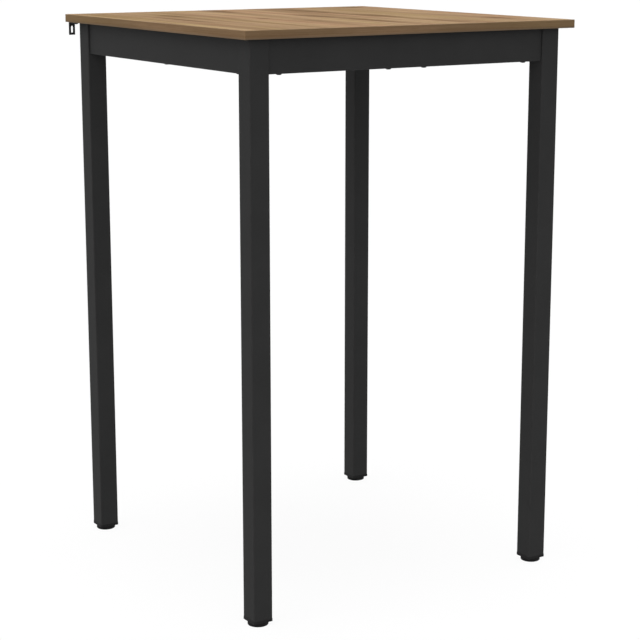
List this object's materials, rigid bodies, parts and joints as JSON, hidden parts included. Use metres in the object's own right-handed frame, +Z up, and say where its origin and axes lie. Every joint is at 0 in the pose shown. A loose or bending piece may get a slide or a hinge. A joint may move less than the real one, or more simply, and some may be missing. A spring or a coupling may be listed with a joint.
{
  "type": "bar table",
  "caption": "Square high table with an oak-look laminate top on a black square-tube steel frame, with screw-adjusted levelling feet and slotted wall tabs.",
  "frame": {"origin": "on the floor under the middle of the table", "axes": "+X right along the front edge, +Y to the back edge with the wall tabs, +Z up"},
  "size_m": [0.7, 0.7, 1.05],
  "materials": {
    "oak_decor": "matt printed oak laminate",
    "oak_edge_band": "matt printed oak edge band",
    "particle_board": "raw pressed chips",
    "backing_laminate": "matt dark backing sheet",
    "black_powder_coat": "fine matt powder coat",
    "black_plastic": "moulded matt",
    "zinc_plated_steel": "bright zinc plate",
    "black_screws": "black finished steel"
  },
  "bodies": {
    "frame": {"decor_sheet": "oak_decor", "edge_band_front": "oak_edge_band", "edge_band_right": "oak_edge_band", "edge_band_back": "oak_edge_band", "edge_band_left": "oak_edge_band", "tabletop_core": "particle_board", "backing_sheet": "backing_laminate", "leg_front_left": "black_powder_coat", "leg_cap_front_left": "black_plastic", "end_plug_front_left": "black_plastic", "foot_nut_front_left": "zinc_plated_steel", "leg_front_right": "black_powder_coat", "leg_cap_front_right": "black_plastic", "end_plug_front_right": "black_plastic", "foot_nut_front_right": "zinc_plated_steel", "leg_back_right": "black_powder_coat", "leg_cap_back_right": "black_plastic", "end_plug_back_right": "black_plastic", "foot_nut_back_right": "zinc_plated_steel", "leg_back_left": "black_powder_coat", "leg_cap_back_left": "black_plastic", "end_plug_back_left": "black_plastic", "foot_nut_back_left": "zinc_plated_steel", "apron_front": "black_powder_coat", "spigot_front_left": "black_powder_coat", "spigot_front_right": "black_powder_coat", "apron_right": "black_powder_coat", "spigot_right_front": "black_powder_coat", "spigot_right_back": "black_powder_coat", "apron_back": "black_powder_coat", "spigot_back_right": "black_powder_coat", "spigot_back_left": "black_powder_coat", "apron_left": "black_powder_coat", "spigot_left_back": "black_powder_coat", "spigot_left_front": "black_powder_coat", "corner_bolts": "black_screws", "top_screws": "black_screws", "tab_screws": "black_screws", "wall_tab_left": "black_powder_coat", "wall_tab_right": "black_powder_coat"},
    "pad_front_left": {"foot_pad_front_left": "black_plastic"},
    "stem_front_left": {"foot_stem_front_left": "zinc_plated_steel"},
    "pad_front_right": {"foot_pad_front_right": "black_plastic"},
    "stem_front_right": {"foot_stem_front_right": "zinc_plated_steel"},
    "pad_back_right": {"foot_pad_back_right": "black_plastic"},
    "stem_back_right": {"foot_stem_back_right": "zinc_plated_steel"},
    "pad_back_left": {"foot_pad_back_left": "black_plastic"},
    "stem_back_left": {"foot_stem_back_left": "zinc_plated_steel"}
  },
  "joints": [
    {"name": "foot_front_left_slide", "type": "slide", "parent": "frame", "child": "pad_front_left", "axis": [0, 0, -1], "range_m": [0, 0.01]},
    {"name": "foot_front_left_screw", "type": "hinge", "parent": "pad_front_left", "child": "stem_front_left", "pos_m": [-0.311, -0.311, 0.027], "axis": [0, 0, -1], "range_deg": [0, 2880]},
    {"name": "foot_front_right_slide", "type": "slide", "parent": "frame", "child": "pad_front_right", "axis": [0, 0, -1], "range_m": [0, 0.01]},
    {"name": "foot_front_right_screw", "type": "hinge", "parent": "pad_front_right", "child": "stem_front_right", "pos_m": [0.311, -0.311, 0.027], "axis": [0, 0, -1], "range_deg": [0, 2880]},
    {"name": "foot_back_right_slide", "type": "slide", "parent": "frame", "child": "pad_back_right", "axis": [0, 0, -1], "range_m": [0, 0.01]},
    {"name": "foot_back_right_screw", "type": "hinge", "parent": "pad_back_right", "child": "stem_back_right", "pos_m": [0.311, 0.311, 0.027], "axis": [0, 0, -1], "range_deg": [0, 2880]},
    {"name": "foot_back_left_slide", "type": "slide", "parent": "frame", "child": "pad_back_left", "axis": [0, 0, -1], "range_m": [0, 0.01]},
    {"name": "foot_back_left_screw", "type": "hinge", "parent": "pad_back_left", "child": "stem_back_left", "pos_m": [-0.311, 0.311, 0.027], "axis": [0, 0, -1], "range_deg": [0, 2880]}
  ],
  "couplings": [
    {"joint": "foot_front_left_slide", "follows": "foot_front_left_screw", "m_per_rad": 0.00019894},
    {"joint": "foot_front_right_slide", "follows": "foot_front_right_screw", "m_per_rad": 0.00019894},
    {"joint": "foot_back_right_slide", "follows": "foot_back_right_screw", "m_per_rad": 0.00019894},
    {"joint": "foot_back_left_slide", "follows": "foot_back_left_screw", "m_per_rad": 0.00019894}
  ]
}
